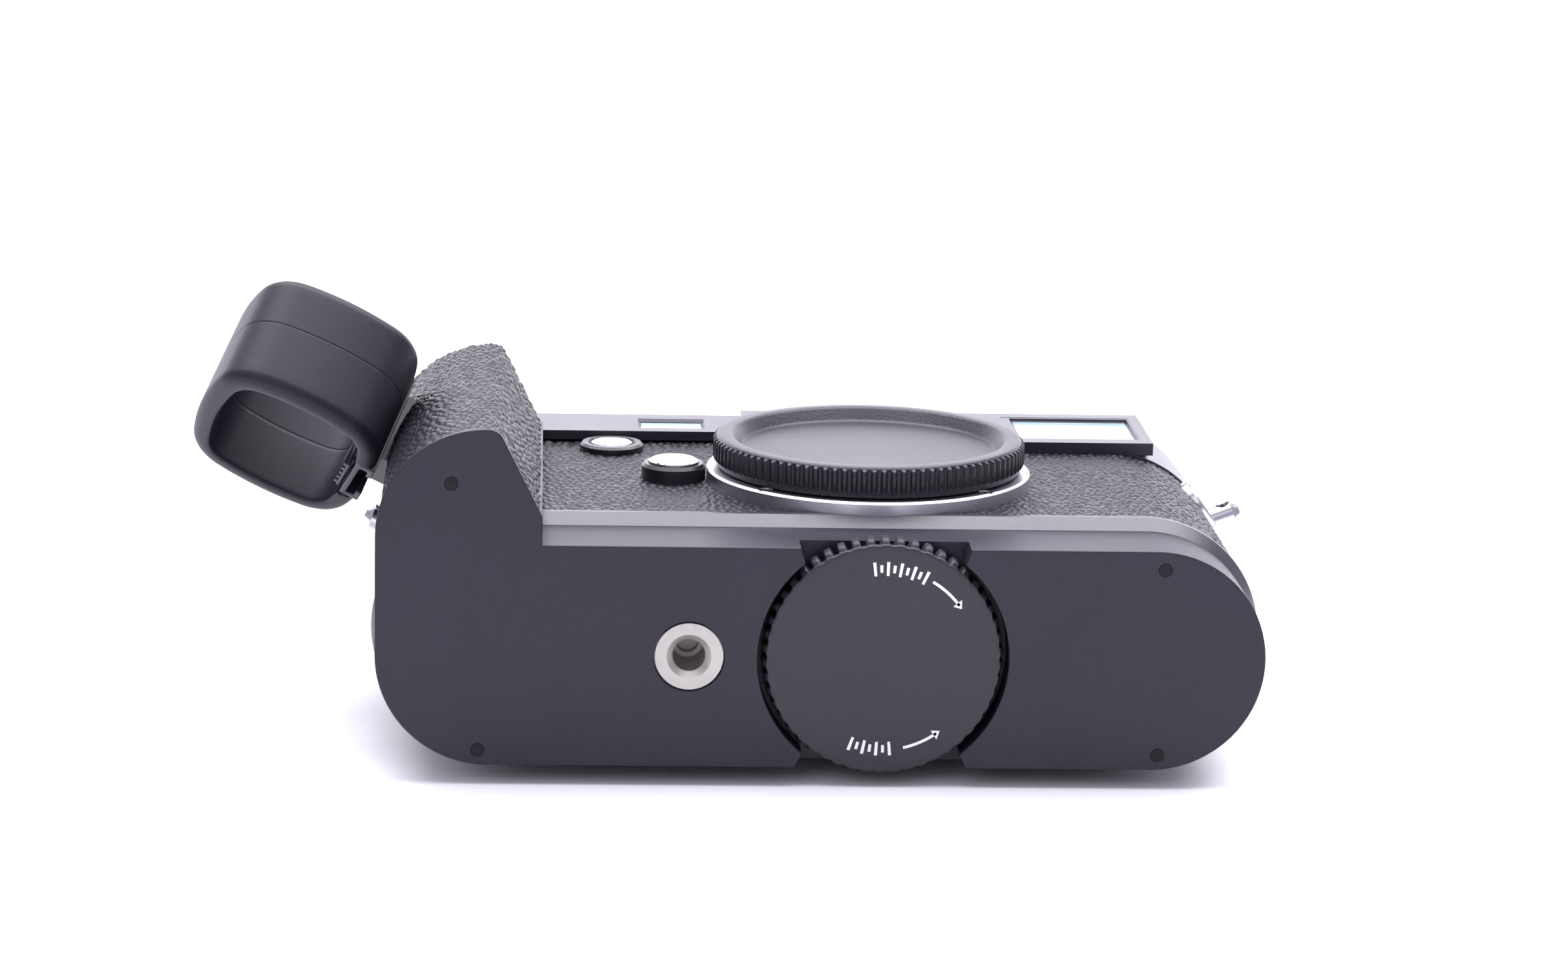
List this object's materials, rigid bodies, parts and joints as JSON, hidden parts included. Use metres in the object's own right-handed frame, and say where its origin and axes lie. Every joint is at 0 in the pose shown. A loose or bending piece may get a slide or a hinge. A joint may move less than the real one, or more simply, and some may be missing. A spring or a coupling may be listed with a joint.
{
  "type": "rangefinder camera",
  "caption": "Rangefinder camera on its back, with a lens mount cap, a hand grip base, a lock wheel, press buttons, dials and a slide-off finger loop.",
  "frame": {"origin": "on the plane the back rests on, straight below the lens axis", "axes": "+X towards the viewfinder window, +Y towards the top plate, +Z out of the lens"},
  "size_m": [0.1752, 0.0907, 0.0718],
  "materials": {
    "black_alloy": "satin",
    "inner_steel": "matte",
    "leatherette": "pebbled, matte",
    "black_paint": "satin lacquer",
    "black_plastic": "fine matte",
    "monitor_glass": "clear over a dark panel",
    "button_black": "semi-gloss",
    "black_anodised": "semi-gloss",
    "steel": "satin",
    "window_glass": "pale coating",
    "inner_alloy": "matte",
    "shoe_steel": "black chrome",
    "brass": "plain",
    "satin_silver": "satin",
    "satin_chrome": "satin",
    "cap_plastic": "fine texture",
    "inner_plastic": "matte",
    "sensor_glass": "coated",
    "board_green": "solder mask",
    "battery_black": "matte",
    "card_blue": "matte",
    "polished_chrome": "polished",
    "base_paint": "fine matte grain",
    "grip_plastic": "matte",
    "bush_steel": "bead blasted",
    "wheel_paint": "matte",
    "loop_rubber": "matte",
    "loop_plastic": "matte"
  },
  "bodies": {
    "camera": {"chassis": "black_alloy", "bottom_plate": "inner_steel", "front_leather": "leatherette", "back_cover": "black_paint", "back_leather": "leatherette", "monitor_frame": "black_plastic", "monitor_glass": "monitor_glass", "thumb_axle": "steel", "thumb_rest": "black_paint", "eyepiece_ring": "black_anodised", "eyepiece_lens": "window_glass", "top_plate": "black_paint", "vf_frame": "black_plastic", "vf_window": "window_glass", "rf_window": "window_glass", "rangefinder_block": "inner_alloy", "hot_shoe": "shoe_steel", "shoe_contacts": "brass", "shoe_screws": "steel", "dial_post": "steel", "mount_ring": "satin_chrome", "mount_screws": "steel", "shutter_frame": "inner_plastic", "shutter_blades": "inner_steel", "sensor": "sensor_glass", "main_board": "board_green", "battery": "battery_black", "memory_card": "card_blue", "release_collar": "black_anodised", "focus_collar": "black_anodised", "strap_lugs": "polished_chrome", "lug_washers": "polished_chrome", "grip_base": "base_paint", "grip_toe": "base_paint", "grip_core": "grip_plastic", "grip_leather": "leatherette", "face_plugs": "base_paint", "tripod_bush": "bush_steel", "grip_rail": "inner_alloy"},
    "lock": {"lock_wheel": "wheel_paint", "lock_shaft": "steel"},
    "cap": {"body_cap": "cap_plastic"},
    "release": {"release_button": "satin_silver"},
    "focus": {"focus_button": "satin_silver"},
    "shutter": {"shutter_button": "satin_silver"},
    "power": {"power_switch": "black_anodised"},
    "dial": {"shutter_dial": "black_anodised"},
    "movie": {"movie_button": "button_black"},
    "thumb": {"thumb_wheel": "black_anodised"},
    "pad": {"direction_pad": "button_black"},
    "pad_centre": {"pad_button": "button_black"},
    "loop": {"loop_band": "loop_rubber", "loop_foot": "loop_plastic"},
    "latch": {"loop_latch": "loop_plastic"},
    "key_1": {"rear_button_1": "button_black"},
    "key_2": {"rear_button_2": "button_black"},
    "key_3": {"rear_button_3": "button_black"},
    "key_4": {"rear_button_4": "button_black"},
    "key_5": {"rear_button_5": "button_black"},
    "key_6": {"rear_button_6": "button_black"}
  },
  "joints": [
    {"name": "lock_wheel_turn", "type": "hinge", "parent": "camera", "child": "lock", "pos_m": [0, -0.04242, 0.02075], "axis": [0, -1, 0], "range_deg": [0, 180]},
    {"name": "cap_twist", "type": "hinge", "parent": "camera", "child": "cap", "pos_m": [0, 0, 0.042], "axis": [0, 0, 1], "range_deg": [0, 60]},
    {"name": "release_press", "type": "slide", "parent": "camera", "child": "release", "axis": [0, 0, -1], "range_m": [0, 0.0012], "stiffness_N_per_m": 300, "springref_m": -0.001},
    {"name": "focus_press", "type": "slide", "parent": "camera", "child": "focus", "axis": [0, 0, -1], "range_m": [0, 0.0005], "stiffness_N_per_m": 300, "springref_m": -0.001},
    {"name": "shutter_press", "type": "slide", "parent": "camera", "child": "shutter", "axis": [0, -1, 0], "range_m": [0, 0.0012], "stiffness_N_per_m": 300, "springref_m": -0.001},
    {"name": "movie_press", "type": "slide", "parent": "camera", "child": "movie", "axis": [0, -1, 0], "range_m": [0, 0.0006], "stiffness_N_per_m": 300, "springref_m": -0.001},
    {"name": "power_turn", "type": "hinge", "parent": "camera", "child": "power", "pos_m": [-0.0544, 0.04118, 0.023], "axis": [0, -1, 0], "range_deg": [0, 60]},
    {"name": "speed_dial_turn", "type": "hinge", "parent": "camera", "child": "dial", "pos_m": [-0.036, 0.04118, 0.023], "axis": [0, 1, 0], "continuous": true},
    {"name": "thumb_wheel_turn", "type": "hinge", "parent": "camera", "child": "thumb", "pos_m": [-0.0525, 0.02, 0.0074], "axis": [0, 1, 0], "continuous": true},
    {"name": "key_1_press", "type": "slide", "parent": "camera", "child": "key_1", "axis": [0, 0, 1], "range_m": [0, 0.0006], "stiffness_N_per_m": 300, "springref_m": -0.001},
    {"name": "key_2_press", "type": "slide", "parent": "camera", "child": "key_2", "axis": [0, 0, 1], "range_m": [0, 0.0006], "stiffness_N_per_m": 300, "springref_m": -0.001},
    {"name": "key_3_press", "type": "slide", "parent": "camera", "child": "key_3", "axis": [0, 0, 1], "range_m": [0, 0.0006], "stiffness_N_per_m": 300, "springref_m": -0.001},
    {"name": "key_4_press", "type": "slide", "parent": "camera", "child": "key_4", "axis": [0, 0, 1], "range_m": [0, 0.0006], "stiffness_N_per_m": 300, "springref_m": -0.001},
    {"name": "key_5_press", "type": "slide", "parent": "camera", "child": "key_5", "axis": [0, 0, 1], "range_m": [0, 0.0006], "stiffness_N_per_m": 300, "springref_m": -0.001},
    {"name": "key_6_press", "type": "slide", "parent": "camera", "child": "key_6", "axis": [0, 0, 1], "range_m": [0, 0.0006], "stiffness_N_per_m": 300, "springref_m": -0.001},
    {"name": "pad_press", "type": "slide", "parent": "camera", "child": "pad", "axis": [0, 0, 1], "range_m": [0, 0.0005], "stiffness_N_per_m": 300, "springref_m": -0.001},
    {"name": "pad_centre_press", "type": "slide", "parent": "pad", "child": "pad_centre", "axis": [0, 0, 1], "range_m": [0, 0.0005], "stiffness_N_per_m": 300, "springref_m": -0.001},
    {"name": "loop_slide", "type": "slide", "parent": "camera", "child": "loop", "axis": [0.3153, 0.6947, 0.6465], "range_m": [0, 0.018]},
    {"name": "latch_press", "type": "slide", "parent": "loop", "child": "latch", "axis": [0.8988, 0, -0.4384], "range_m": [0, 0.0005], "stiffness_N_per_m": 300, "springref_m": -0.001}
  ]
}
